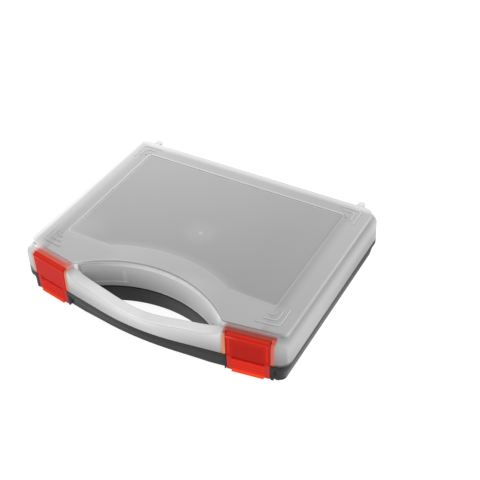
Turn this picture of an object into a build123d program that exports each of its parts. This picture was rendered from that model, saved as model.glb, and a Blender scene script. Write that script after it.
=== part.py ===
from build123d import *
import math
import os

os.makedirs("parts", exist_ok=True)

# A flat carry case in two moulded shells, black below and frosted above, with
# two red latches on its bowed front and a grip bar in front of a finger hole.
# Millimetres, +Z up, front towards -Y. It rests on four feet at Z = 0.

# ---- driving sizes ----
WIDTH = 260.0          # over the rim, left to right
DEPTH = 210.0          # grip bar to hinge knuckles
HEIGHT = 50.0          # feet to plateau
PART_Z = 21.0          # height of the line between the shells
PART_GAP = 0.16        # open line between lid and base rim
CORNER_R = 10.0        # rim corners seen from above
WALL = 1.8             # lid skin
BASE_WALL = 2.0        # base skin and floor
FOOT_H = 0.8
FOOT_R = 4.0

# bowed front: an arc in the middle, straight wings past it
BOW_R = 240.0
WING_ANG = 9.1         # degrees off square

# finger hole and grip bar
HOLE_R = 108.0
HOLE_APEX_IN = 44.9    # bar front to the hole's rear wall at mid width
BAR_T = 11.3
HOLE_CORNER = 1.6
# top of the bar: share of the way from mid width to the hole's end, and drop below the shoulder
BAR_TOP = [(0.0, 13.0), (0.2588, 11.6), (0.5464, 9.2), (0.7764, 8.2), (0.949, 7.0), (1.064, 3.8), (1.1503, -0.4)]
BAR_EDGE_R = 1.6
BAR_EDGE_CUTS = 12     # stations each side of mid width
BAR_ARCH = 5.4         # how far the bar's underside rises at mid width
BAR_ARCH_OVER = 0.5    # the arch's end past the hole's

# base
RIM_H = 5.0            # full-width band under the parting line
RIM_STEP = 1.2         # step in below that band
BASE_INSET = 4.3       # total inset at the bottom edge
HOLE_STEP = 1.2
HOLE_INSET = 2.8
BOTTOM_CHAMFER = 1.0
TONGUE_H = 2.4         # inner lip standing up inside the lid
TONGUE_GAP = 0.35
TONGUE_ROOT = 0.5      # how far the lip reaches down into the rim

# lid
SHOULDER_DROP = 3.8    # plateau down to the flat behind the shoulder round
SHOULDER_R = 7.5
LID_DRAFT = 1.5        # degrees
PLATEAU_SIDE = 3.9     # rim side to the raised top panel
PLATEAU_REAR = 4.5     # rim rear to panel rear
PLATEAU_FRONT = 9.3    # rim front to panel front, square to the wings
PLATEAU_R = 4.0        # its front corners
PLATEAU_REAR_R = 9.0
PANEL_T = 2.0
PANEL_EDGE_R = 0.9
PANEL_HOLE_GAP = 1.2   # finger hole to the panel's edge
PANEL_TIP_R = 2.5      # panel corners beside the finger hole
RECESS_DEEP = 0.6
RECESS_SIDE = 23.1     # panel's edges to the window, at the sides and the rear
RECESS_REAR = 18.9
RECESS_FRONT = 51.5    # bar front to the window's front line
RECESS_OFF = 21.0      # finger hole's rear arc to the window
WINDOW_R = 3.0
GATE_X, GATE_Y = 2.3, -3.0
GATE_R = 1.4           # round mark left by the mould, sunk in the window
GATE_DEEP = 0.4
BEAD_W = 1.5           # raised lines in the panel corners
BEAD_H = 0.35
BEAD_SIDE = 9.9       # panel's edges to the outermost line, at the sides and the rear
BEAD_REAR = 8.0
BEAD_FRONT = 16.9      # front line to the outermost line
BEAD_STEP = 4.5
BEAD_R = 3.5           # rounding of each line's corner, at its middle
BEAD_LEGS = (20.0, 11.5, 4.5)
LUG_SIDE = 20.0        # rim side to each lug's middle
LUG_W = 6.4
LUG_R = 2.4            # rounding of each lug's rear corners
LUG_DROP = 3.2
LUG_H = 4.0
LUG_TALL = 10.0        # down to the foot of the slope under each lug
LUG_ROOT = 8.0         # how far each lug reaches in over the shoulder

# hinge
HINGE_SIDE = 45.0      # rim side to each hinge's middle
PIN_R = 1.2
KNUCKLE_R = 2.8
KNUCKLE_END = 9.0      # length of each base knuckle
KNUCKLE_MID = 17.4     # length of the lid knuckle
KNUCKLE_GAP = 0.3
RUN_FIT = 0.06         # radial, where a pin turns

# latches
LATCH_SIDE = 32.0      # rim side to each latch's middle
LATCH_W = 37.5
LATCH_SIDE_GAP = 0.25
LATCH_BOTTOM = 4.2
CATCH_DEEP = 3.0       # front line to the back of the latch's bay
CATCH_HALF = 12.0      # half length of the bead behind the latch
CATCH_GROOVE = 0.8     # undercut that the bead snaps into
CATCH_PLAY = 1.0
CATCH_TALL = 3.5
LATCH_EDGE = 0.7
LATCH_T = 2.2
LATCH_BARREL_R = 3.4
LATCH_PIN_DROP = 8.2   # plateau down to the latch pin
LATCH_PIN_R = 1.0
POCKET_BACK = 7.3
HOOD_FRONT = 2.5       # front line to the skin over the latch's barrel
HOOD_CORNER = 2.4
HOOD_EDGE_R = 0.5
LATCH_TOP_R = 3.0      # latch corners seen from the front
LATCH_BOTTOM_R = 1.0
CHEEK_T = 2.5
CHEEK_IN = 1.0         # the thinner cheek on each latch's inner side
CHEEK_BOTTOM = 4.4
LIP_OUT = 1.7
LIP_HALF = 13.5
GRIP_RIBS = 3
GRIP_TOP = 16.6
GRIP_STEP = 3.3
GRIP_DIP = 0.4         # shallow finger groove above the grip ribs
GRIP_H = 0.7

# loose dividers
DIV_T = 1.6
DIV_DROP = 2.6         # line between the shells down to the dividers' tops
DIV_GAP = 0.15
DIV_END_GAP = 0.45
SLOT_RIB = 1.4
SLOT_LONG = 2.9
CLIP_T = 1.2           # small ribs on the long divider that hold the short ones
CLIP_OUT = 1.2
LONG_DIV_REAR = 78.0   # rim rear to the long divider
FRONT_DIV_X = 42.0     # mid width to each front divider

# feet and inner lip
FOOT_SIDE = 11.0
FOOT_FRONT = 9.0
FOOT_REAR = 12.0
LIP_FRONT = 47.0       # bar front to the lip's front end at the sides
LIP_REAR = 22.0
HOLE_LIP_HALF = 50.0

# ---- places worked out from them ----
Y_FRONT = -DEPTH / 2.0
Y_PIN = DEPTH / 2.0 - KNUCKLE_R
Y_REAR = Y_PIN - 2.2
HOLE_YC = Y_FRONT + HOLE_APEX_IN - HOLE_R
BOW_YC = Y_FRONT + BOW_R
BOW_HALF = BOW_R * math.sin(math.radians(WING_ANG))
BOW_END_Y = BOW_YC - BOW_R * math.cos(math.radians(WING_ANG))
WING_SLOPE = math.tan(math.radians(WING_ANG))
BASE_Z0 = FOOT_H
FLOOR_Z = BASE_Z0 + BASE_WALL
RIM_Z = PART_Z - RIM_H
LID_Z0 = PART_Z + PART_GAP
HALF_W = WIDTH / 2.0
PANEL_Z = HEIGHT - BEAD_H
SHOULDER_Z = HEIGHT - SHOULDER_DROP
LATCH_PIN_Z = HEIGHT - LATCH_PIN_DROP
LUG_TOP = HEIGHT - LUG_DROP
PLATEAU_X = HALF_W - PLATEAU_SIDE
RECESS_X = PLATEAU_X - RECESS_SIDE
RECESS_Y = (Y_FRONT + RECESS_FRONT, Y_REAR - PLATEAU_REAR - RECESS_REAR)
BEAD_X = PLATEAU_X - BEAD_SIDE
LUG_X = HALF_W - LUG_SIDE
HINGE_X = HALF_W - HINGE_SIDE
LATCH_X = HALF_W - LATCH_SIDE
DIV_TOP = PART_Z - DIV_DROP
LONG_DIV_Y = Y_REAR - LONG_DIV_REAR
REACH = 2 * (WIDTH + DEPTH)     # beyond everything, for cuts that run right through


def front_y(x, d=0.0):
    """The line d behind the bowed front, at x."""
    x, r = abs(x), BOW_R - d
    if x <= BOW_HALF * r / BOW_R:
        return BOW_YC - math.sqrt(r ** 2 - x ** 2)
    return BOW_YC + (BOW_END_Y - BOW_YC) * r / BOW_R + (x - BOW_HALF * r / BOW_R) * WING_SLOPE


def behind_front(d):
    """Everything at least d behind the bowed front line, as a big flat face."""
    r = BOW_R - d
    bx, by = BOW_HALF * r / BOW_R, BOW_YC + (BOW_END_Y - BOW_YC) * r / BOW_R
    far = REACH
    wy = by + (far - bx) * WING_SLOPE
    arc = ThreePointArc((-bx, by), (0, BOW_YC - r), (bx, by))
    loop = [arc, Line((bx, by), (far, wy)), Line((far, wy), (far, 2 * far)), Line((far, 2 * far), (-far, 2 * far)),
            Line((-far, 2 * far), (-far, wy)), Line((-far, wy), (-bx, by))]
    return make_face(Wire(loop))


def box_face(x0, x1, y0, y1):
    return Pos((x0 + x1) / 2, (y0 + y1) / 2) * Rectangle(x1 - x0, y1 - y0)


def round_corners(face, r, pick):
    vs = [v for v in face.vertices() if pick(v)]
    return fillet(vs, r)


def rim_outline():
    f = box_face(-HALF_W, HALF_W, -REACH, Y_REAR) & behind_front(0)
    return round_corners(f, CORNER_R, lambda v: abs(abs(v.X) - HALF_W) < 0.01)


def sharp_hole():
    return Pos(0, HOLE_YC) * Circle(HOLE_R) & behind_front(BAR_T)


def hole_outline():
    return round_corners(sharp_hole(), HOLE_CORNER, lambda v: abs(v.X) > HOLE_HALF - 0.5)


def panel_outline():
    f = box_face(-PLATEAU_X, PLATEAU_X, -REACH, Y_REAR - PLATEAU_REAR) & behind_front(PLATEAU_FRONT)
    f = round_corners(f, PLATEAU_R, lambda v: abs(abs(v.X) - PLATEAU_X) < 0.01 and v.Y < 0)
    f = round_corners(f, PLATEAU_REAR_R, lambda v: abs(abs(v.X) - PLATEAU_X) < 0.01 and v.Y > Y_REAR - 2 * PLATEAU_REAR)
    f = f - Pos(0, HOLE_YC) * Circle(HOLE_R + PANEL_HOLE_GAP)
    tip = min(v.Y for v in f.vertices() if abs(v.X) < LATCH_X)
    return round_corners(f, PANEL_TIP_R, lambda v: abs(v.Y - tip) < 0.01)


def grown(face, d):
    """Flat outline made larger by d, or smaller where d is negative."""
    return offset(face, d, kind=Kind.ARC) if d > 0 else offset(face, d)


def up(face, z0, z1, taper=0):
    """Extrude a flat face from z0 to z1; a positive taper leans inwards going up."""
    return extrude(Pos(0, 0, z0) * face, z1 - z0, dir=(0, 0, 1), taper=taper)


def stack(face, levels):
    """Moulded wall form: a list of (height, inset), drafted between them."""
    whole = Part()
    for (z0, d0), (z1, d1) in zip(levels, levels[1:]):
        if z1 > z0:
            whole += up(grown(face, -d0) if d0 else face, z0, z1, math.degrees(math.atan((d1 - d0) / (z1 - z0))))
    return whole


def both_sides(right):
    """A feature at the right and its mirror image at the left."""
    return right + mirror(right, Plane.YZ)


def at_latch(shape):
    """Local latch frame: X along the wing, -Y outwards, origin on the front line."""
    return Location((LATCH_X, front_y(LATCH_X), 0), (0, 0, WING_ANG)) * shape


def block(x0, x1, y0, y1, z0, z1):
    return Pos((x0 + x1) / 2, (y0 + y1) / 2, (z0 + z1) / 2) * Box(x1 - x0, y1 - y0, z1 - z0)


def rod_x(x0, x1, y, z, r):
    return Pos((x0 + x1) / 2, y, z) * Rot(0, 90, 0) * Cylinder(r, x1 - x0)


def side_profile(points, x0, x1):
    """A closed outline in Y and Z, extruded along X."""
    f = Plane.YZ * make_face(Polyline(*points, close=True))
    return Pos(x0, 0, 0) * extrude(f, x1 - x0, dir=(1, 0, 0))


def one(shape):
    s = shape.solids()
    assert len(s) == 1, len(s)
    return s[0]


HOLE_HALF = max(v.X for v in sharp_hole().vertices())
RIM = rim_outline()
HOLE = hole_outline()
PANEL = panel_outline()
LATCH_HALF = LATCH_W / 2 + LATCH_SIDE_GAP
nodes = {}

# ---- base shell ----
ARCH_R = ((HOLE_HALF + BAR_ARCH_OVER) ** 2 + BAR_ARCH ** 2) / (2 * BAR_ARCH)


def bar_arch(lift):
    """The air under the grip bar: a shallow arch."""
    air = Pos(0, Y_FRONT, BASE_Z0 + BAR_ARCH - ARCH_R) * Rot(90, 0, 0) * Cylinder(ARCH_R + lift, 5 * BAR_T)
    return air & up(box_face(-HALF_W, HALF_W, -REACH, REACH) - behind_front(BAR_T + 4), -ARCH_R, PART_Z)


def base_wall(z):
    """How far the base's outside lies in from the rim at height z."""
    return RIM_STEP + (BASE_INSET - RIM_STEP) * (RIM_Z - z) / (RIM_Z - BASE_Z0)


def base_hole(z):
    return HOLE_STEP + (HOLE_INSET - HOLE_STEP) * (RIM_Z - z) / (RIM_Z - BASE_Z0)


TOP = PART_Z + HEIGHT / 5
foot_edge = BASE_Z0 + BOTTOM_CHAMFER
base_out = stack(RIM, [(BASE_Z0, base_wall(BASE_Z0) + BOTTOM_CHAMFER), (foot_edge, base_wall(foot_edge)),
                       (RIM_Z, RIM_STEP), (RIM_Z, 0), (PART_Z, 0)])
base_out -= stack(HOLE, [(BASE_Z0 - 1, -base_hole(BASE_Z0 - 1)), (RIM_Z, -HOLE_STEP), (RIM_Z, 0), (TOP, 0)])
base_out -= bar_arch(0)
hollow = stack(RIM, [(FLOOR_Z, base_wall(FLOOR_Z) + BASE_WALL), (RIM_Z, RIM_STEP + BASE_WALL),
                     (TOP, RIM_STEP + BASE_WALL)])
hollow -= stack(HOLE, [(BASE_Z0, -base_hole(BASE_Z0) - BASE_WALL), (RIM_Z, -HOLE_STEP - BASE_WALL),
                       (TOP + 1, -HOLE_STEP - BASE_WALL)])
hollow -= bar_arch(BASE_WALL)

# latch bays: the wall steps back, with an undercut for the latch's bead
GROOVE_Y, GROOVE_HALF = CATCH_DEEP + CATCH_GROOVE, CATCH_HALF + CATCH_PLAY
bay = block(-LATCH_HALF, LATCH_HALF, -DEPTH, CATCH_DEEP, -HEIGHT, TOP)
bay += block(-GROOVE_HALF, GROOVE_HALF, -DEPTH, GROOVE_Y, RIM_Z - CATCH_TALL - 0.1, RIM_Z - 0.1)
bay_keep = block(-LATCH_HALF - BASE_WALL, LATCH_HALF + BASE_WALL, -DEPTH, GROOVE_Y + BASE_WALL, -HEIGHT, 2 * TOP)
cheek = block(LATCH_HALF, LATCH_HALF + CHEEK_T, -0.2, 6.0, CHEEK_BOTTOM, PART_Z)
cheek += block(-LATCH_HALF - CHEEK_IN, -LATCH_HALF, -0.2, 6.0, CHEEK_BOTTOM, PART_Z)
base = base_out - both_sides(at_latch(bay)) - (hollow - both_sides(at_latch(bay_keep)))
base += both_sides(at_latch(cheek))

# inner lip that stands up inside the lid, at the sides and round the finger hole
lip_in, lip_out = RIM_STEP + BASE_WALL, WALL + TONGUE_GAP
side_lip = up(grown(RIM, -lip_out) - grown(RIM, -lip_in), PART_Z - TONGUE_ROOT, PART_Z + TONGUE_H)
hole_lip = up(grown(HOLE, lip_in) - grown(HOLE, lip_out), PART_Z - TONGUE_ROOT, PART_Z + TONGUE_H)
base += side_lip & both_sides(block(LUG_X, HALF_W, Y_FRONT + LIP_FRONT, Y_REAR - LIP_REAR, 0, HEIGHT))
base += hole_lip & block(-HOLE_LIP_HALF, HOLE_LIP_HALF, Y_FRONT + BAR_T + 9, Y_REAR, 0, HEIGHT)

# feet
FOOT_X = HALF_W - FOOT_SIDE
FOOT_Y = (front_y(FOOT_X) + FOOT_FRONT, Y_REAR - FOOT_REAR)
for y in FOOT_Y:
    base += both_sides(Pos(FOOT_X, y, BASE_Z0 / 2 + 0.25) * Cylinder(FOOT_R, BASE_Z0 + 0.5))

# slots for the loose dividers
HALF_SLOT = DIV_T / 2 + DIV_GAP
SLOT_TOP = DIV_TOP - 0.9
DIV_END_X = HALF_W - base_wall(FLOOR_Z) - BASE_WALL - DIV_END_GAP
REAR_END_Y = Y_REAR - base_wall(FLOOR_Z) - BASE_WALL - DIV_END_GAP
arc_r = HOLE_R + base_hole(FLOOR_Z) + BASE_WALL
FRONT_END_Y = HOLE_YC + math.sqrt(arc_r ** 2 - (FRONT_DIV_X - DIV_T) ** 2) + DIV_END_GAP + 0.15
REAR_XS = (-DIV_END_X / 2, 0.0, DIV_END_X / 2)
FRONT_XS = (-FRONT_DIV_X, FRONT_DIV_X)
ribs = Part()
for s in (-1, 1):
    a, b = sorted((s * HALF_SLOT, s * (HALF_SLOT + SLOT_RIB)))
    ribs += both_sides(block(DIV_END_X - SLOT_LONG, HALF_W - 2, LONG_DIV_Y + a, LONG_DIV_Y + b, FLOOR_Z - 0.5, SLOT_TOP))
    for x in REAR_XS:
        ribs += block(x + a, x + b, REAR_END_Y - SLOT_LONG, Y_REAR - 2, FLOOR_Z - 0.5, SLOT_TOP)
    for x in FRONT_XS:
        ribs += block(x + a, x + b, FRONT_END_Y - 6, FRONT_END_Y + SLOT_LONG, FLOOR_Z - 0.5, SLOT_TOP)
base += ribs & base_out

# hinge knuckles
LO, HI = KNUCKLE_MID / 2 + KNUCKLE_GAP, KNUCKLE_MID / 2 + KNUCKLE_GAP + KNUCKLE_END
RELIEF = KNUCKLE_R + 0.3
mid = rod_x(HINGE_X - LO, HINGE_X + LO, Y_PIN, PART_Z, RELIEF)
base -= both_sides(mid)
for x0, x1 in ((HINGE_X - HI, HINGE_X - LO), (HINGE_X + LO, HINGE_X + HI)):
    k = rod_x(x0, x1, Y_PIN, PART_Z, KNUCKLE_R) + block(x0, x1, Y_REAR - 1, Y_PIN, PART_Z - KNUCKLE_R, PART_Z)
    base += both_sides(k)
base -= both_sides(rod_x(HINGE_X - HI - 1, HINGE_X + HI + 1, Y_PIN, PART_Z, PIN_R))
nodes["base_shell"] = base

# ---- lid shell ----
LEAN = math.tan(math.radians(LID_DRAFT))


def bar_top_points(drop):
    half = [(share * HOLE_HALF, SHOULDER_Z - down - drop) for share, down in BAR_TOP]
    return [(-x, z) for x, z in reversed(half[1:])] + half


def bar_top_air(drop):
    """Air above the grip bar, down to the curve of its top."""
    pts = bar_top_points(drop)
    end_x, end_z = pts[-1]
    sky = 2 * HEIGHT
    loop = [Spline(*pts), Line((end_x, end_z), (end_x, sky)), Line((end_x, sky), (-end_x, sky)),
            Line((-end_x, sky), (-end_x, end_z))]
    air = extrude(Plane.XZ * make_face(Wire(loop)), REACH, both=True)
    return air & up(box_face(-HALF_W, HALF_W, -REACH, REACH) - behind_front(BAR_T + 1.0 + drop), 0, sky)


def bar_edge_cut():
    """What comes off the bar's top rear edge: two flats that stand for a round, dying out at the ends."""
    curve = Spline(*bar_top_points(0))
    tops = [curve @ (i / 600) for i in range(601)]
    sections = []
    for i in range(-BAR_EDGE_CUTS, BAR_EDGE_CUTS + 1):
        share = i / BAR_EDGE_CUTS
        x = share * (HOLE_HALF - HOLE_CORNER)
        z = min(tops, key=lambda p: abs(p.X - x)).Y
        y = front_y(x, BAR_T)
        r = BAR_EDGE_R * max(0.08, min(1.0, 4 * (1 - abs(share))))
        flats = [(y - 2.4 * r, z + 0.6 * r), (y - 0.3 * r, z - 0.3 * r), (y + 0.6 * r, z - 2.4 * r), (y + 2 * r, z + 2 * r)]
        sections.append(make_face(Polyline(*[(x, py, pz) for py, pz in flats], close=True)))
    return loft(sections)


def lid_form(t):
    """Outer form of the lid at t = 0; its hollow at t = the skin."""
    z0 = LID_Z0 if t == 0 else LID_Z0 - 5
    z1 = SHOULDER_Z - t
    body = stack(RIM, [(z0, t + (z0 - LID_Z0) * LEAN), (z1, t + (z1 - LID_Z0) * LEAN)])
    body = fillet(body.faces().sort_by(Axis.Z)[-1].edges(), SHOULDER_R - t)
    body -= up(grown(HOLE, t) if t else HOLE, z0 - 1, 2 * HEIGHT)
    body -= bar_top_air(t)
    if t == 0:
        body -= bar_edge_cut()
    top = PANEL_Z if t == 0 else PANEL_Z - PANEL_T
    panel = up(grown(PANEL, -t) if t else PANEL, LATCH_PIN_Z - 6, top)
    if t == 0:
        panel = fillet(panel.faces().sort_by(Axis.Z)[-1].edges(), PANEL_EDGE_R)
    return body + panel


lid = lid_form(0)
hood = block(-LATCH_HALF - CHEEK_T, LATCH_HALF + CHEEK_T, HOOD_FRONT, PLATEAU_FRONT + 0.5, LATCH_PIN_Z + 0.2, SHOULDER_Z)
hood = fillet(hood.edges().filter_by(Axis.Z).group_by(Axis.Y)[0], HOOD_CORNER)
hood = fillet(hood.faces().sort_by(Axis.Z)[-1].edges(), HOOD_EDGE_R)
lid += both_sides(at_latch(hood))

# two lugs high on the rear wall: with the hinges they let the case stand on end
lug = [(Y_REAR - LUG_ROOT, LUG_TOP), (DEPTH / 2, LUG_TOP), (DEPTH / 2, LUG_TOP - LUG_H), (Y_REAR - 0.5, LUG_TOP - LUG_TALL),
       (Y_REAR - LUG_ROOT, LUG_TOP - LUG_TALL)]
lug = side_profile(lug, LUG_X - LUG_W / 2, LUG_X + LUG_W / 2)
lid += both_sides(fillet(lug.edges().filter_by(Axis.Z).group_by(Axis.Y)[-1], LUG_R))

inside = lid_form(WALL)
pocket = block(-LATCH_HALF, LATCH_HALF, -DEPTH, POCKET_BACK, 0, LATCH_PIN_Z + LATCH_BARREL_R + 0.35)
pocket_keep = block(-LATCH_HALF - WALL, LATCH_HALF + WALL, -DEPTH, POCKET_BACK + WALL, 0, 2 * HEIGHT)
inside -= both_sides(at_latch(pocket_keep))
lid = lid - inside - both_sides(at_latch(pocket))
latch_bore = rod_x(-LATCH_HALF - WALL - 2, LATCH_HALF + WALL + 2, LATCH_BARREL_R, LATCH_PIN_Z, LATCH_PIN_R)
lid -= both_sides(at_latch(latch_bore))

# shallow window in the top panel; its front edge follows the finger hole
window = round_corners(box_face(-RECESS_X, RECESS_X, RECESS_Y[0], RECESS_Y[1]), WINDOW_R, lambda v: True)
window -= Pos(0, HOLE_YC) * Circle(HOLE_R + RECESS_OFF)
lid -= up(window, PANEL_Z - RECESS_DEEP, HEIGHT + 5)
lid -= Pos(GATE_X, GATE_Y, PANEL_Z - RECESS_DEEP) * Cylinder(GATE_R, GATE_DEEP)

# three nested corner lines at each corner of the panel, each bent round its corner
BEAD_Y = front_y(BEAD_X) + BEAD_FRONT
for k, leg in enumerate(BEAD_LEGS):
    x = BEAD_X - k * BEAD_STEP
    for y, turn, sy in ((BEAD_Y + k * BEAD_STEP, math.radians(WING_ANG), 1), (Y_REAR - PLATEAU_REAR - BEAD_REAR - k * BEAD_STEP, 0, -1)):
        ends = (x - leg * math.cos(turn), y - leg * math.sin(turn)), (x, y), (x, y + sy * leg)
        line = trace(FilletPolyline(*ends, radius=BEAD_R), BEAD_W)
        lid += both_sides(up(line, PANEL_Z - 0.5, HEIGHT))

# hinge knuckle of the lid, turning on the pin
for x0, x1 in ((HINGE_X - HI, HINGE_X - LO), (HINGE_X + LO, HINGE_X + HI)):
    lid -= both_sides(rod_x(x0 - KNUCKLE_GAP, x1 + KNUCKLE_GAP, Y_PIN, PART_Z, RELIEF))
k = rod_x(HINGE_X - KNUCKLE_MID / 2, HINGE_X + KNUCKLE_MID / 2, Y_PIN, PART_Z, KNUCKLE_R)
k += block(HINGE_X - KNUCKLE_MID / 2, HINGE_X + KNUCKLE_MID / 2, Y_REAR - 1, Y_PIN, LID_Z0, PART_Z + KNUCKLE_R)
lid += both_sides(k)
lid -= both_sides(rod_x(HINGE_X - HI, HINGE_X + HI, Y_PIN, PART_Z, PIN_R + RUN_FIT))
nodes["lid_shell"] = lid

# ---- pins ----
pin = rod_x(HINGE_X - HI + 0.5, HINGE_X + HI - 0.5, Y_PIN, PART_Z, PIN_R)
nodes["hinge_pin_right"] = pin
nodes["hinge_pin_left"] = mirror(pin, Plane.YZ)
pin = rod_x(-LATCH_HALF - WALL + 0.2, LATCH_HALF + WALL - 0.2, LATCH_BARREL_R, LATCH_PIN_Z, LATCH_PIN_R)
nodes["latch_pin_right"] = at_latch(pin)
nodes["latch_pin_left"] = mirror(at_latch(pin), Plane.YZ)

# ---- latches ----
h = LATCH_W / 2
plate = block(-h, h, 0, LATCH_T, LATCH_BOTTOM, LATCH_PIN_Z)
plate = fillet(plate.edges().filter_by(Axis.Y).group_by(Axis.Z)[0], LATCH_BOTTOM_R)
plate = chamfer(plate.edges().filter_by(Axis.Z).group_by(Axis.Y)[0], LATCH_EDGE)
plate -= block(-LIP_HALF, LIP_HALF, -1, GRIP_DIP, GRIP_TOP + 2.4, GRIP_TOP + 5.6)
latch = plate + rod_x(-h, h, LATCH_BARREL_R, LATCH_PIN_Z, LATCH_BARREL_R)
keep = block(-h, h, -DEPTH, DEPTH, 0, LATCH_PIN_Z + LATCH_BARREL_R + 0.5)
latch &= fillet(keep.edges().filter_by(Axis.Y).group_by(Axis.Z)[-1], LATCH_TOP_R)
lip = [(0.5, LATCH_BOTTOM + 3.8), (0, LATCH_BOTTOM + 3.8), (-LIP_OUT, LATCH_BOTTOM + 1.8), (-LIP_OUT, LATCH_BOTTOM), (0.5, LATCH_BOTTOM)]
lip = side_profile(lip, -LIP_HALF, LIP_HALF)
latch += fillet(lip.edges().filter_by(Axis.X).group_by(Axis.Y)[0], 0.6)
for i in range(GRIP_RIBS):
    z = GRIP_TOP - i * GRIP_STEP
    rib = [(0.5, z + 0.9), (0, z + 0.9), (-GRIP_H, z + 0.4), (-GRIP_H, z - 0.4), (0, z - 0.9), (0.5, z - 0.9)]
    latch += side_profile(rib, -LIP_HALF - 1, LIP_HALF + 1)
latch += block(-CATCH_HALF, CATCH_HALF, LATCH_T - 0.3, CATCH_DEEP - 0.1, RIM_Z - CATCH_TALL + 0.7, RIM_Z - 0.8)
latch -= rod_x(-h - 1, h + 1, LATCH_BARREL_R, LATCH_PIN_Z, LATCH_PIN_R + RUN_FIT)
nodes["latch_right"] = at_latch(latch)
nodes["latch_left"] = mirror(at_latch(latch), Plane.YZ)

# ---- loose dividers ----
DIV_Z0 = FLOOR_Z + 0.1
d = DIV_T / 2
long = block(-DIV_END_X, DIV_END_X, LONG_DIV_Y - d, LONG_DIV_Y + d, DIV_Z0, DIV_TOP)
for xs, sy in ((REAR_XS, 1), (FRONT_XS, -1)):
    y0, y1 = sorted((LONG_DIV_Y, LONG_DIV_Y + sy * (d + CLIP_OUT)))
    for x in xs:
        for s in (-1, 1):
            a, b = sorted((s * HALF_SLOT, s * (HALF_SLOT + CLIP_T)))
            long += block(x + a, x + b, y0, y1, DIV_Z0, DIV_TOP)
nodes["divider_long"] = long
for name, x in zip(("left", "middle", "right"), REAR_XS):
    nodes["divider_rear_" + name] = block(x - d, x + d, LONG_DIV_Y + d + 0.25, REAR_END_Y, DIV_Z0, DIV_TOP)
for name, x in zip(("left", "right"), FRONT_XS):
    nodes["divider_front_" + name] = block(x - d, x + d, FRONT_END_Y, LONG_DIV_Y - d - 0.25, DIV_Z0, DIV_TOP)

for name, shape in nodes.items():
    export_step(one(shape), "parts/" + name + ".step")
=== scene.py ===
import bpy
from mathutils import Matrix, Vector

# A flat carry case lying shut: black lower shell, frosted lid, two red latches.
# Metres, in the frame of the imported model. The pieces come in the order of assembly.
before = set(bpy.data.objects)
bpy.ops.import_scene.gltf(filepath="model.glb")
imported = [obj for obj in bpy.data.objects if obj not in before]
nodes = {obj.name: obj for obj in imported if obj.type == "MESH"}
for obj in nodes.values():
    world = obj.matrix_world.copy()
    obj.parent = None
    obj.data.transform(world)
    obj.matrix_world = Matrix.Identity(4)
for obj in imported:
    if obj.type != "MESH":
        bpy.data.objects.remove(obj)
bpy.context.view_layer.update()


# ---- lower shell ----
# One injection moulding in black polypropylene, with its half of the grip bar, a
# bay behind each latch, four feet, hinge knuckles and the slots for the dividers.
# Its outside is lightly spark-eroded, and painted highlights lie along the rim and steps on its walls.
class Wire:
    """One socket of a finish's node graph. Arithmetic on it adds Math nodes."""

    def __init__(self, socket):
        self.socket = socket

    @classmethod
    def node(cls, tree, kind, settings=None, sockets=None, out=0):
        """Any node: its settings first, then the values or links of its sockets."""
        n = tree.nodes.new("ShaderNode" + kind)
        for key, value in (settings or {}).items():
            setattr(n, key, value)
        for key, value in (sockets or {}).items():
            if isinstance(value, Wire):
                tree.links.new(value.socket, n.inputs[key])
            else:
                n.inputs[key].default_value = value
        return cls(n.outputs[out])

    def also(self, kind, settings=None, sockets=None, out=0):
        return Wire.node(self.socket.id_data, kind, settings, sockets, out)

    def maths(self, operation, a, b=0.0, c=0.0):
        return self.also("Math", {"operation": operation}, {0: a, 1: b, 2: c})

    def __add__(self, other):
        return self.maths("ADD", self, other)

    def __sub__(self, other):
        return self.maths("SUBTRACT", self, other)

    def __rsub__(self, other):
        return self.maths("SUBTRACT", other, self)

    def __mul__(self, other):
        return self.maths("MULTIPLY", self, other)

    __radd__, __rmul__ = __add__, __mul__

    def distance(self):
        return self.maths("ABSOLUTE", self)

    def at_least(self, floor, soft=0.0):
        return self.maths("SMOOTH_MAX" if soft else "MAXIMUM", self, floor, soft)

    def past(self, start, end):
        """0 before start and 1 past end, smoothly between them; start may be the larger."""
        low, high = min(start, end), max(start, end)
        rise = self.also("MapRange", {"interpolation_type": "SMOOTHSTEP"}, {"Value": self, 1: low, 2: high})
        return rise if start < end else 1 - rise

    def band(self, low, high, soft):
        """1 between low and high, fading over soft outside them."""
        return self.past(low - soft, low) * self.past(high + soft, high)

    def line_at(self, place, half=2.0):
        """1 near place, fading out between half - 1 and half millimetres from it."""
        return (self - place).distance().past(half, half - 1.0)

    def toward(self, other, share):
        """This where share is 0, other where it is 1."""
        return self * (1 - share) + other * share

    def blend(self, a, b):
        """Colour a where this is 0, colour b where it is 1."""
        return self.also("Mix", {"data_type": "RGBA"}, {0: self, 6: a, 7: b}, 2)


def finish_for(name, **constants):
    """A new material with one plastic or metal shader. Gives its tree, shader and place in mm."""
    material = bpy.data.materials.new(name)
    material.use_nodes = True
    tree = material.node_tree
    shader = tree.nodes["Principled BSDF"]
    for key, value in constants.items():
        shader.inputs[key.replace("_", " ")].default_value = value
    spot = Wire.node(tree, "TexCoord", out=3)
    mm = spot.also("VectorMath", {"operation": "SCALE"}, {0: spot, 3: 1000.0})
    return material, tree, shader, mm


def axes_of(vector):
    return [vector.also("SeparateXYZ", sockets={0: vector}, out=i) for i in range(3)]


front_line = -105.0                        # y of the front's middle, which is straight
straight_half, front_slope = 19.0, 0.16    # beyond it the front runs back to the corners
hole_centre, hole_radius = -168.1, 108.0   # y and radius of the finger hole's arc


def behind_front(x, y):
    """How many millimetres a spot lies behind the case's bowed front line."""
    return y - front_line - (front_slope * (x.distance() - straight_half)).at_least(0.0, 3.0)


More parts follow.
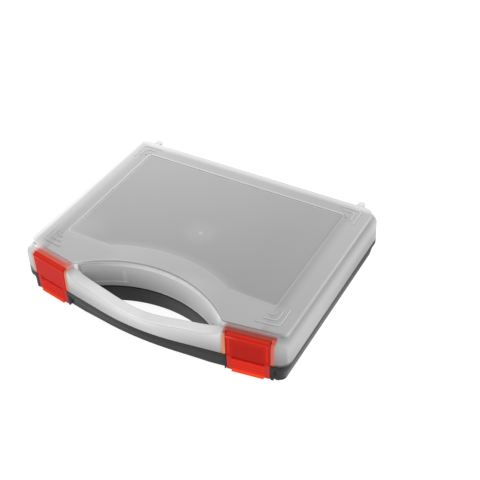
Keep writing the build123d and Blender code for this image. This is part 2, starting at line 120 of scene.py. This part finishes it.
def from_hole(mm, x, y):
    """How many millimetres a spot lies outside the finger hole's arc."""
    spoke = mm.also("CombineXYZ", None, {0: x, 1: y - hole_centre})
    return mm.also("VectorMath", {"operation": "LENGTH"}, {0: spoke}, 1) - hole_radius


def grey_of(tone, blue=1.0):
    return tone.also("CombineColor", None, {0: tone, 1: tone, 2: tone * blue})


def rounded(mm, radius, height, depth, strength):
    """A normal with its sharp edges softened over radius mm and a relief depth mm deep."""
    soft = mm.also("Bevel", {"samples": 4}, {"Radius": radius / 1000.0})
    sockets = {"Strength": strength, "Distance": depth / 1000.0, "Height": height, "Normal": soft}
    return mm.also("Bump", None, sockets)


def join(tree, value, shader, name):
    tree.links.new(value.socket, shader.inputs[name])


def speckle(mm, size, detail=2.0, rough=0.5):
    """Noise from 0 to 1 whose grains are about size millimetres."""
    sockets = {"Vector": mm, "Scale": 1.0 / size, "Detail": detail, "Roughness": rough}
    return mm.also("TexNoise", None, sockets)


def dress(node_names, material):
    for name in node_names:
        slots = nodes[name].data.materials
        slots.clear()
        slots.append(material)


def black_moulding(name, grey, rough):
    material, tree, shader, mm = finish_for(name, Specular_IOR_Level=0.05)
    x, y, z = axes_of(mm)
    rightward = axes_of(Wire.node(tree, "TexCoord", out=1))[0]
    behind = behind_front(x, y)
    cloud = speckle(mm, 40.0)
    grain = speckle(mm, 0.35, 3.0, 0.6)
    scuff = speckle(mm, 6.0, 4.0, 0.7).past(0.62, 0.72)
    tone = grey * (0.85 + 0.3 * cloud) + 0.008 * scuff

    # right wall: painted light from a lamp towards the front, painted shade under the rim, near the floor and
    # towards the rear, and a painted highlight just above the rim line
    right_wall = rightward.past(0.5, 0.95)
    lit = right_wall * y.past(90.0, -30.0) * y.past(-90.0, -76.0)
    rim_foot, rim_line = 18.8, 20.3
    tone = tone + lit * (0.045 - 0.028 * z.past(rim_foot - 1.3, rim_foot) + 0.022 * z.past(10.0, 6.0))
    tone = tone - right_wall * (0.07 * z.past(6.5, 3.5) + 0.012 * y.past(0.0, 80.0))
    tone = tone + 0.03 * right_wall * z.past(rim_line, rim_line + 0.7)

    # front: lighter to the left, and finger hole: painted light, lighter to its right
    front = behind.past(3.0, 2.0)
    hole = behind.past(12.5, 16.0) * from_hole(mm, x, y).past(3.2, 2.9)
    tone = tone + 0.025 * front * x.past(20.0, -40.0) * z.past(20.5, 19.5)
    tone = tone + 0.07 * hole * x.past(-40.0, 55.0)

    # right front corner: painted shade, with one painted highlight line on its step, and a painted shadow line
    # under the lid over the front and the finger hole
    corner = x.past(113.0, 118.0) * (1 - right_wall)
    tone = tone - corner * (0.008 + 0.012 * z.past(19.6, 20.4)) + 0.02 * corner * z.band(15.7, 16.3, 0.3)
    tone = tone * (1 - 0.8 * hole * z.past(19.2, 19.8)) * (1 - 0.5 * front * z.past(19.8, 20.8))
    join(tree, grey_of(tone.at_least(0.006), 1.03), shader, "Base Color")
    join(tree, rough + 0.12 * scuff - 0.06 * cloud, shader, "Roughness")
    join(tree, rounded(mm, 0.35, grain, 0.06, 0.25), shader, "Normal")
    return material


dress(["base_shell"], black_moulding("black_polypropylene", 0.038, 0.45))


# ---- loose dividers ----
# Thin black plates that stand in slots between the floor's ribs. They are sheared
# from the same plastic as the lower shell, a little duller, and lift out.
dress([n for n in nodes if n.startswith("divider")], black_moulding("divider_plastic", 0.03, 0.5))


# ---- pins ----
# Drawn steel wire, cut to length and pressed into the shells: one through each
# pair of knuckles at the rear, and one that each latch swings on.
def drawn_wire():
    material, tree, shader, mm = finish_for("drawn_steel", Metallic=1.0)
    x, y, z = axes_of(mm)
    drawn, round_it = 0.2, 6.0   # the die's lines are long along the wire and fine round it
    along = mm.also("CombineXYZ", None, {0: x * drawn, 1: y * round_it, 2: z * round_it})
    lines = speckle(along, 0.5, 3.0, 0.6)
    join(tree, grey_of(0.42 + 0.2 * lines, 1.02), shader, "Base Color")
    join(tree, 0.28 + 0.18 * lines, shader, "Roughness")
    join(tree, rounded(mm, 0.1, lines, 0.02, 0.2), shader, "Normal")
    return material


dress([n for n in nodes if "pin" in n], drawn_wire())


# ---- lid ----
# One moulding in frosted, see-through polypropylene. Its colour carries painted light: pale where two skins
# or a rounded edge would scatter the light, greyer where the black shell stands behind it, and a
# painted glow of the red latches through it, orange beside them and red-brown above.
latch_at = 98.0                            # the case's middle to each latch's middle
window_side, window_rear, window_front = 103.0, 77.0, -53.5
window_arc = 21.0                          # from the finger hole's arc to the window's edge
window_floor, top_face = 49.0, 49.64       # heights of the window and of the face round it
bar_half, bar_back = 76.0, 12.0            # the grip bar's half length, and its depth


def frosted_lid():
    material, tree, shader, mm = finish_for("frosted_polypropylene", Specular_IOR_Level=0.3)
    x, y, z = axes_of(mm)
    up = axes_of(Wire.node(tree, "TexCoord", out=1))[2]
    side, behind = x.distance(), behind_front(x, y)
    ring = from_hole(mm, x, y)
    across = (side - latch_at).distance()
    cloud = speckle(mm, 55.0, 2.0)
    mottle = speckle(mm, 7.0, 3.0, 0.55)
    grain = speckle(mm, 0.3, 2.0, 0.6)

    # top: painted shade darkens the window, over the empty inside, with that edge lost at the front left; painted
    # light lies towards the right and right of the finger hole, painted shade at the front left
    window = x.past(-window_side - 0.6, -window_side + 1.0) * x.past(window_side + 11.0, window_side - 1.0)
    window = window * y.past(window_rear + 0.4, window_rear - 0.2) * ring.past(window_arc - 1.0, window_arc + 10.0)
    window = window * y.past(window_front - 4.5, window_front + 3.5)
    window = window * (1 - y.past(-10.0, -50.0) * x.past(-60.0, -100.0))
    top = 0.343 + 0.0005 * y - 0.00023 * x - 0.05 * window
    top = top + 0.012 * x.past(60.0, 100.0) + 0.04 * x.past(104.0, 116.0)
    right_of_hole = y.past(-48.0, -60.0) * x.past(0.0, 30.0) * (1 - 0.7 * x.past(30.0, 70.0))
    top = top + 0.035 * right_of_hole - 0.025 * y.past(-52.0, -64.0) * x.past(-40.0, -60.0)

    # painted light: paler towards the left and rear edges and along the finger hole's edge
    left_edge = 0.16 * x.past(-108.0, -121.0) + 0.25 * x.past(-119.5, -124.0)
    left_edge = left_edge + 0.2 * x.past(-104.0, -116.0) * y.past(-74.0, -84.0)
    rear_edge = 0.22 * y.past(85.5, 93.0) + 0.06 * y.past(74.0, 90.0) * x.past(-70.0, -110.0)
    top = top + left_edge.at_least(rear_edge, 0.05) + 0.02 * ring.past(3.2, 1.4)

    # the window's rim catches the light, most at the rear and left
    between_sides = side.past(window_side + 1.0, window_side - 1.0)
    past_front = y.past(window_front - 1.5, window_front + 1.5)
    ridge = y.line_at(window_rear - 0.3) * between_sides
    ridge = ridge.at_least(x.line_at(-window_side + 0.1) * y.past(window_rear + 1.5, window_rear) * past_front)
    faint = x.line_at(window_side, 1.9) * y.past(50.0, 0.0) * past_front
    front_edge = y.line_at(window_front, 1.9) * ring.past(window_arc - 1.0, window_arc + 0.5)
    arc_edge = ring.line_at(window_arc, 1.9) * y.past(window_front - 0.5, window_front + 0.5)
    faint = faint.at_least(front_edge * between_sides).at_least(arc_edge * between_sides)
    sill = side.past(window_side + 2.5, window_side + 1.0) * y.past(window_rear + 2.5, window_rear + 1.0)
    sill = sill * z.band(window_floor + 0.1, top_face - 0.02, 0.05)
    top = top + 0.09 * ridge + 0.03 * faint + (0.1 + 0.06 * x.past(20.0, -60.0)) * sill

    # so do the raised corner lines, with painted light on their sides and on the face over the left latch, the
    # top's right edge and the mark of the mould's gate
    over_left_latch = y.past(-70.0, -78.0) * x.past(-60.0, -80.0) * (0.9 + 0.5 * x.past(-108.0, -115.0))
    flank = z.past(top_face, top_face + 0.06).at_least(over_left_latch) * up.past(0.8, 0.4)
    lines = z.past(top_face + 0.06, top_face + 0.26)
    top = top + lines * (0.1 - 0.03 * x.past(40.0, -40.0)) + flank * (0.1 + 0.08 * x.past(0.0, -60.0))
    top = top + x.past(124.4, 125.4) * z.past(48.2, 48.9) * (0.06 + 0.06 * y.past(-72.0, -77.0))
    gate_mark = {0: mm, 1: (2.3, -3.0, window_floor)}
    gate = mm.also("VectorMath", {"operation": "DISTANCE"}, gate_mark, 1)
    top = top + 0.03 * gate.past(22.0, 4.0) + 0.12 * gate.past(2.6, 1.2)

    # walls: painted shade in a groove at the foot of the raised top and lower down, most at the rear, where the
    # black lip shows through; painted light at the right rear corner, the front left corner and along the left and
    # rear edges
    rearward = 0.02 + 0.09 * y.past(-40.0, 64.0)
    wall = 0.375 - 0.065 * z.past(41.0, 45.5) - rearward * z.past(37.0, 25.0)
    wall = wall - 0.05 * y.past(-60.0, -80.0) * z.past(40.0, 24.0)
    wall = wall + 0.05 * x.past(120.0, 126.0) * y.past(78.0, 88.0)
    pale_edge = x.past(-121.0, -126.0) + y.past(90.0, 96.0) * up.past(0.0, 0.2)
    wall = wall + 0.3 * z.past(38.0, 44.0) * pale_edge
    wall = wall + 0.3 * z.past(42.0, 45.0) * y.past(-74.0, -80.0) * x.past(-108.0, -115.0)

    # front beside the latches, with painted shade downwards and painted light to the left, and a painted shadow in
    # the seam over the black shell
    front = 0.20 + 0.008 * (z - 24.0) + 0.27 * x.past(-60.0, -115.0)
    wings = behind.past(5.0, 3.0)
    wall = wall.toward(front, wings)
    seam = (z - 3.0 * x.past(-119.0, -123.0)).past(23.7, 22.5)
    wall = wall * (1 - 0.7 * seam * wings.at_least(y.past(-74.0, -82.0)))

    # grip bar: light along its top, shading off downwards and to the right
    right = x.past(5.0, 70.0)
    bar = 0.43 + 0.14 * x.past(-80.0, -5.0) - 0.17 * right + (0.0105 + 0.0076 * right) * (z - 28.0)
    bar = bar + z.past(26.0, 34.0) * (0.08 * x.past(30.0, 0.0) + 0.05 * x.band(-14.0, 8.0, 14.0))
    bar_top = 0.585 + 0.04 * x.band(-40.0, -5.0, 15.0) + 0.1 * behind.past(2.6, 1.4) * x.band(-20.0, 40.0, 25.0)
    bar_top = bar_top + 0.03 * x.past(-40.0, -55.0) - 0.25 * x.past(-68.0, -77.0)
    bar = bar.toward(bar_top, up.past(0.5, 0.9))
    wall = wall.toward(bar, side.past(bar_half + 2.0, bar_half - 2.0) * behind.past(bar_back, bar_back - 0.6))

    # finger hole: painted shade darkens its wall downwards and to the left; it has a painted highlight band near
    # its top and painted light near its foot on the right
    shade = x.past(46.0, 14.0) * (0.0105 - 0.004 * x.past(-40.0, -60.0))
    hole = 0.586 + 0.0035 * x - (40.0 - z).at_least(0.0) * shade
    hole = hole + 0.2 * z.band(44.6, 45.4, 1.6) * x.past(-68.0, -20.0) * x.past(64.0, 10.0)
    hole = hole + 0.08 * z.past(45.6, 46.4) + 0.1 * z.past(46.8, 47.6) * x.past(50.0, -10.0)
    hole = hole + 0.1 * z.past(23.4, 22.4) * x.past(-12.0, 0.0)

    # painted light: an edge inside the case shows through it as a thin light corner
    edge_foot = 0.13 * z.band(25.6, 26.4, 0.5)
    edge_side = 0.07 * x.past(-38.5, -37.0) * z.band(26.0, 38.0, 1.0)
    hole = hole + x.past(-33.0, -37.0) * (edge_foot + edge_side)
    in_hole = ring.past(2.4, 1.4) * behind.past(bar_back - 0.6, bar_back) * side.past(bar_half, bar_half - 2.0)
    wall = wall.toward(hole, in_hole)

    # painted light on the faces over the latches, more over the left one
    over_latch = across.past(24.0, 20.0) * behind.band(7.0, 10.5, 1.0) * z.band(45.0, 48.4, 0.4)
    wall = wall + (0.17 + 0.12 * x.past(-50.0, -70.0)) * over_latch
    tone = wall.toward(top, z.past(47.2, 47.5))
    tone = tone * (0.98 + 0.04 * cloud) + 0.008 * (mottle - 0.5)
    tone = tone.toward(0.68, y.past(100.1, 100.6) * z.past(34.0, 36.0))   # the lugs at the rear
    colour = grey_of(tone, 1.003)

    # a painted glow of the latches seen through the lid: red-brown above them, brighter over the left one, orange
    # at their ends and sides
    hood = across.past(23.0, 20.0) * behind.past(11.0, 5.4) * z.past(42.5, 43.5) * z.past(49.0, 48.0)
    hood = hood * x.past(-119.0, -112.0)
    painted_red_brown_glow = x.past(-60.0, 60.0).blend((0.55, 0.05, 0.022, 1), (0.29, 0.028, 0.014, 1))
    colour = hood.blend(colour, painted_red_brown_glow)
    strip = across.past(23.0, 20.5) * behind.past(5.5, 3.5) * z.past(20.0, 21.0)
    strip = strip * across.past(18.6, 19.4).at_least(z.past(43.5, 42.5)) * (1 - 0.45 * x.past(-112.0, -116.0))
    strip = strip * (1 - x.past(0.0, -10.0) * z.past(42.5, 44.5))
    strip = strip * (1 - 0.6 * x.band(60.0, 90.0, 5.0) * z.past(37.0, 42.0))
    orange = x.past(100.0, 112.0).blend((0.66, 0.21, 0.085, 1), (0.60, 0.085, 0.045, 1))
    colour = (strip * 0.92).blend(colour, orange)
    tip = x.band(-78.0, -74.0, 3.5) * behind.band(5.0, 8.0, 2.5) * z.past(42.0, 44.5) * z.past(48.0, 47.0)
    colour = (tip * 0.6).blend(colour, (0.62, 0.16, 0.11, 1))
    join(tree, colour, shader, "Base Color")
    join(tree, 0.42 + 0.1 * mottle, shader, "Roughness")
    join(tree, rounded(mm, 1.0, grain + 2.0 * mottle, 0.05, 0.2), shader, "Normal")
    return material


dress(["lid_shell"], frosted_lid())


# ---- latches ----
# Two snap latches in see-through red plastic. Each swings on a pin in the lid's
# pocket, has shallow grip ribs, and pulls out by the lip at its bottom.
def red_latch():
    constants = {"Specular_IOR_Level": 0.04, "Emission_Strength": 1.0}
    material, tree, shader, mm = finish_for("red_latch_plastic", **constants)
    x, y, z = axes_of(mm)
    behind = behind_front(x, y)
    cloud = speckle(mm, 12.0)
    grain = speckle(mm, 0.4, 2.0, 0.6)
    left = x.past(50.0, -50.0)
    from_middle = x - latch_at * x.maths("SIGN", x)
    off_middle = from_middle.distance()
    # painted light: the left latch's red is paler than the right one's
    red = left.blend((0.46, 0.010, 0.005, 1), (0.57, 0.011, 0.007, 1))

    # plate: cloudy above, with painted shade in the right one's middle and a painted highlight line inside its
    # edges
    red = (0.25 * cloud * z.past(20.0, 30.0)).blend(red, (0.55, 0.03, 0.015, 1))
    right_middle_shade = 0.5 * x.past(60.0, 75.0) * z.band(22.0, 34.0, 6.0) * off_middle.past(16.0, 10.0)
    red = right_middle_shade.blend(red, (0.34, 0.010, 0.006, 1))
    upper_line = z.band(41.0, 42.2, 0.6) * (0.15 + 0.5 * from_middle.past(-6.0, -18.0))
    red = upper_line.blend(red, (0.85, 0.09, 0.05, 1))
    side_line = 0.45 * off_middle.band(15.3, 16.6, 0.6) * z.past(21.0, 26.0) * z.past(42.0, 41.0)
    red = side_line.blend(red, (0.68, 0.03, 0.015, 1))

    # grip ribs: painted light on them, painted shade in the groove above them, with duller ends, and an orange lip
    # below them
    red = (0.75 * z.past(19.5, 17.5)).blend(red, (0.76, 0.035, 0.02, 1))
    groove = 0.7 * (1 - 0.6 * left) * z.band(18.2, 19.6, 0.5) * off_middle.past(15.0, 13.5)
    red = groove.blend(red, (0.40, 0.002, 0.001, 1))
    red = (z.past(21.0, 18.0) * off_middle.past(13.8, 15.0)).blend(red, (0.46, 0.035, 0.028, 1))
    red = (z.past(8.6, 7.6) * behind.past(-0.2, -0.9)).blend(red, (0.85, 0.065, 0.018, 1))
    # a painted glow along the top edge, set as emission
    painted_top_glow = z.past(43.2, 44.6).blend((0, 0, 0, 1), (0.14, 0.014, 0.008, 1))
    join(tree, painted_top_glow, shader, "Emission Color")
    join(tree, red, shader, "Base Color")
    join(tree, 0.3 + 0.1 * cloud, shader, "Roughness")
    join(tree, rounded(mm, 0.4, grain, 0.04, 0.15), shader, "Normal")
    return material


dress(["latch_left", "latch_right"], red_latch())


# ---- floor, light and camera ----
# A plain white floor, an even white room and two soft lights, from the right and from
# behind on the left. The camera stands to the right of the grip bar and looks down.
reach = 6   # metres from the case's middle to the floor's edges
floor_mesh = bpy.data.meshes.new("floor")
floor_corners = [(-reach, -reach, 0), (reach, -reach, 0), (reach, reach, 0), (-reach, reach, 0)]
floor_mesh.from_pydata(floor_corners, [], [(0, 1, 2, 3)])
floor = bpy.data.objects.new("floor", floor_mesh)
bpy.context.scene.collection.objects.link(floor)
constants = {"Roughness": 0.9, "Specular_IOR_Level": 0.0, "Emission_Strength": 0.86}
paper, tree, shader, mm = finish_for("white_floor", **constants)
shader.inputs["Base Color"].default_value = (0.3, 0.3, 0.3, 1)
shader.inputs["Emission Color"].default_value = (1, 1, 1, 1)
floor_mesh.materials.append(paper)

room = bpy.data.worlds.new("room")
bpy.context.scene.world = room
room.use_nodes = True
background = room.node_tree.nodes["Background"]
background.inputs["Color"].default_value = (1, 1, 1, 1)
background.inputs["Strength"].default_value = 0.85


def soft_light(name, place, size, watts):
    lamp = bpy.data.lights.new(name, "AREA")
    lamp.shape, lamp.size, lamp.energy = "DISK", size, watts
    light = bpy.data.objects.new(name, lamp)
    place = Vector(place)
    light.matrix_world = Matrix.LocRotScale(place, place.to_track_quat("Z", "Y"), None)
    bpy.context.scene.collection.objects.link(light)


soft_light("soft_right", (0.95, -0.25, 0.45), 0.8, 4.0)
soft_light("soft_rear_left", (-0.6, 0.6, 0.7), 0.8, 4.0)

lens = bpy.data.cameras.new("camera")
lens.sensor_width, lens.lens = 36.0, 67.606
lens.clip_start, lens.clip_end = 0.01, 50.0
camera = bpy.data.objects.new("camera", lens)
right = Vector((0.87220, 0.48838, -0.02749))
down = Vector((0.29767, -0.57453, -0.76244))
forward = Vector((-0.38816, 0.65681, -0.64648))
turn = Matrix((right, -down, -forward)).transposed().to_4x4()
camera.matrix_world = Matrix.Translation((0.34141, -0.50935, 0.55475)) @ turn
bpy.context.scene.collection.objects.link(camera)
bpy.context.scene.camera = camera
bpy.context.scene.view_settings.view_transform = "Standard"
